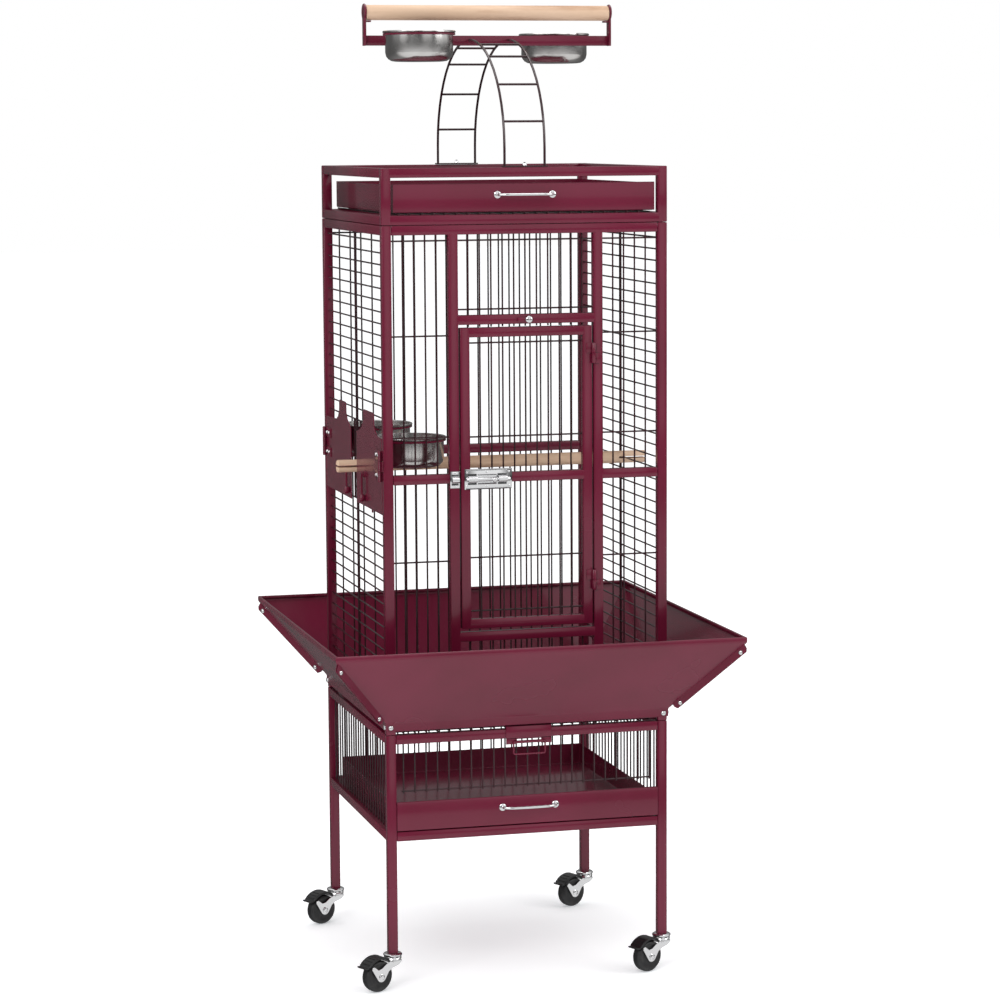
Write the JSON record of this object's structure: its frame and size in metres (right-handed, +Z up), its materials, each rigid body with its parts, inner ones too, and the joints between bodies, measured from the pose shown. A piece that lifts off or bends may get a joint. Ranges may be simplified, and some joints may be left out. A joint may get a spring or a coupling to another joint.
{
  "type": "bird cage on stand",
  "caption": "Square wire bird cage on a wheeled stand with a litter drawer, flared seed skirt, swinging front door, side feeder doors and an open play top with perch and cups.",
  "frame": {"origin": "on the floor under the centre of the cage", "axes": "+X to the viewer's right facing the door, +Y to the back, +Z up"},
  "size_m": [0.6562, 0.6562, 1.539],
  "materials": {
    "frame_paint": "glossy powder coat",
    "wood": "plain sanded dowel",
    "steel": "polished stainless",
    "chrome": "bright plated",
    "tyre": "satin moulded",
    "brake_plastic": "satin"
  },
  "bodies": {
    "frame": {"stand_left": "frame_paint", "stand_right": "frame_paint", "stand_rear": "frame_paint", "stand_front_grille": "frame_paint", "stand_front_rail": "frame_paint", "skirt_front": "frame_paint", "skirt_right": "frame_paint", "skirt_rear": "frame_paint", "skirt_left": "frame_paint", "cage_left": "frame_paint", "cage_right": "frame_paint", "cage_front": "frame_paint", "cage_rear": "frame_paint", "door_hinge_lower": "frame_paint", "door_hinge_upper": "frame_paint", "bolt_keeper": "chrome", "feeder_hinge_front": "frame_paint", "feeder_hinge_rear": "frame_paint", "inner_perch": "wood", "top_box": "frame_paint", "perch_bracket": "frame_paint", "play_perch": "wood", "ladder_front": "frame_paint", "ladder_rear": "frame_paint"},
    "drawer": {"drawer": "frame_paint", "drawer_handle": "chrome"},
    "grate": {"grate": "frame_paint"},
    "grate_bail": {"grate_bail": "frame_paint"},
    "door": {"door": "frame_paint", "bolt_body": "chrome"},
    "bolt_rod": {"bolt_rod": "chrome"},
    "turn_button": {"turn_button": "frame_paint"},
    "feeder_door_front": {"feeder_door_front": "frame_paint"},
    "feeder_door_rear": {"feeder_door_rear": "frame_paint"},
    "feeder_latch_front": {"feeder_latch_front": "frame_paint"},
    "feeder_latch_rear": {"feeder_latch_rear": "frame_paint"},
    "feeder_cup_front": {"feeder_cup_front": "steel"},
    "feeder_cup_rear": {"feeder_cup_rear": "steel"},
    "play_cup_left": {"play_cup_left": "steel"},
    "play_cup_right": {"play_cup_right": "steel"},
    "play_tray": {"play_tray": "frame_paint", "play_tray_handle": "chrome"},
    "caster_front_left": {"caster_fork_front_left": "chrome"},
    "wheel_front_left": {"caster_wheel_front_left": "tyre"},
    "brake_front_left": {"caster_brake_front_left": "brake_plastic"},
    "caster_front_right": {"caster_fork_front_right": "chrome"},
    "wheel_front_right": {"caster_wheel_front_right": "tyre"},
    "brake_front_right": {"caster_brake_front_right": "brake_plastic"},
    "caster_rear_left": {"caster_fork_rear_left": "chrome"},
    "wheel_rear_left": {"caster_wheel_rear_left": "tyre"},
    "brake_rear_left": {"caster_brake_rear_left": "brake_plastic"},
    "caster_rear_right": {"caster_fork_rear_right": "chrome"},
    "wheel_rear_right": {"caster_wheel_rear_right": "tyre"},
    "brake_rear_right": {"caster_brake_rear_right": "brake_plastic"}
  },
  "joints": [
    {"name": "drawer_slide", "type": "slide", "parent": "frame", "child": "drawer", "axis": [0, -1, 0], "range_m": [0, 0.4]},
    {"name": "grate_slide", "type": "slide", "parent": "frame", "child": "grate", "axis": [0, -1, 0], "range_m": [0, 0.4]},
    {"name": "bail_swing", "type": "hinge", "parent": "grate", "child": "grate_bail", "pos_m": [0, -0.2331, 0.384], "axis": [-1, 0, 0], "range_deg": [0, 90]},
    {"name": "door_swing", "type": "hinge", "parent": "frame", "child": "door", "pos_m": [0.1072, -0.2322, 0.8145], "axis": [0, 0, 1], "range_deg": [0, 110]},
    {"name": "bolt_slide", "type": "slide", "parent": "door", "child": "bolt_rod", "axis": [-1, 0, 0], "range_m": [0, 0.02]},
    {"name": "turn_button_turn", "type": "hinge", "parent": "frame", "child": "turn_button", "pos_m": [0.0026, -0.229, 1.0475], "axis": [0, -1, 0], "range_deg": [0, 90]},
    {"name": "feeder_front_swing", "type": "hinge", "parent": "frame", "child": "feeder_door_front", "pos_m": [-0.232, -0.2135, 0.824], "axis": [0, 0, 1], "range_deg": [0, 100]},
    {"name": "feeder_rear_swing", "type": "hinge", "parent": "frame", "child": "feeder_door_rear", "pos_m": [-0.232, 0.2135, 0.824], "axis": [0, 0, -1], "range_deg": [0, 100]},
    {"name": "feeder_latch_front_turn", "type": "hinge", "parent": "feeder_door_front", "child": "feeder_latch_front", "pos_m": [-0.233, -0.085, 0.799], "axis": [1, 0, 0], "range_deg": [0, 90]},
    {"name": "feeder_latch_rear_turn", "type": "hinge", "parent": "feeder_door_rear", "child": "feeder_latch_rear", "pos_m": [-0.233, 0.032, 0.799], "axis": [-1, 0, 0], "range_deg": [0, 50]},
    {"name": "feeder_cup_front_lift", "type": "slide", "parent": "feeder_door_front", "child": "feeder_cup_front", "axis": [0, 0, 1], "range_m": [0, 0.06]},
    {"name": "feeder_cup_rear_lift", "type": "slide", "parent": "feeder_door_rear", "child": "feeder_cup_rear", "axis": [0, 0, 1], "range_m": [0, 0.06]},
    {"name": "play_cup_left_lift", "type": "slide", "parent": "frame", "child": "play_cup_left", "axis": [0, 0, 1], "range_m": [0, 0.06]},
    {"name": "play_cup_right_lift", "type": "slide", "parent": "frame", "child": "play_cup_right", "axis": [0, 0, 1], "range_m": [0, 0.06]},
    {"name": "play_tray_slide", "type": "slide", "parent": "frame", "child": "play_tray", "axis": [0, -1, 0], "range_m": [0, 0.4]},
    {"name": "swivel_front_left", "type": "hinge", "parent": "frame", "child": "caster_front_left", "pos_m": [-0.221, -0.221, 0.05], "axis": [0, 0, 1], "continuous": true},
    {"name": "roll_front_left", "type": "hinge", "parent": "caster_front_left", "child": "wheel_front_left", "pos_m": [-0.24905, -0.2342, 0.025], "axis": [0.4259, -0.9048, 0], "continuous": true},
    {"name": "brake_front_left_press", "type": "hinge", "parent": "caster_front_left", "child": "brake_front_left", "pos_m": [-0.23638, -0.22824, 0.0513], "axis": [0.4259, -0.9048, 0], "range_deg": [0, 4]},
    {"name": "swivel_front_right", "type": "hinge", "parent": "frame", "child": "caster_front_right", "pos_m": [0.221, -0.221, 0.05], "axis": [0, 0, 1], "continuous": true},
    {"name": "roll_front_right", "type": "hinge", "parent": "caster_front_right", "child": "wheel_front_right", "pos_m": [0.19295, -0.2342, 0.025], "axis": [0.4259, -0.9048, 0], "continuous": true},
    {"name": "brake_front_right_press", "type": "hinge", "parent": "caster_front_right", "child": "brake_front_right", "pos_m": [0.20562, -0.22824, 0.0513], "axis": [0.4259, -0.9048, 0], "range_deg": [0, 4]},
    {"name": "swivel_rear_left", "type": "hinge", "parent": "frame", "child": "caster_rear_left", "pos_m": [-0.221, 0.221, 0.05], "axis": [0, 0, 1], "continuous": true},
    {"name": "roll_rear_left", "type": "hinge", "parent": "caster_rear_left", "child": "wheel_rear_left", "pos_m": [-0.24905, 0.2078, 0.025], "axis": [0.4259, -0.9048, 0], "continuous": true},
    {"name": "brake_rear_left_press", "type": "hinge", "parent": "caster_rear_left", "child": "brake_rear_left", "pos_m": [-0.23638, 0.21376, 0.0513], "axis": [0.4259, -0.9048, 0], "range_deg": [0, 4]},
    {"name": "swivel_rear_right", "type": "hinge", "parent": "frame", "child": "caster_rear_right", "pos_m": [0.221, 0.221, 0.05], "axis": [0, 0, 1], "continuous": true},
    {"name": "roll_rear_right", "type": "hinge", "parent": "caster_rear_right", "child": "wheel_rear_right", "pos_m": [0.19295, 0.2078, 0.025], "axis": [0.4259, -0.9048, 0], "continuous": true},
    {"name": "brake_rear_right_press", "type": "hinge", "parent": "caster_rear_right", "child": "brake_rear_right", "pos_m": [0.20562, 0.21376, 0.0513], "axis": [0.4259, -0.9048, 0], "range_deg": [0, 4]}
  ]
}
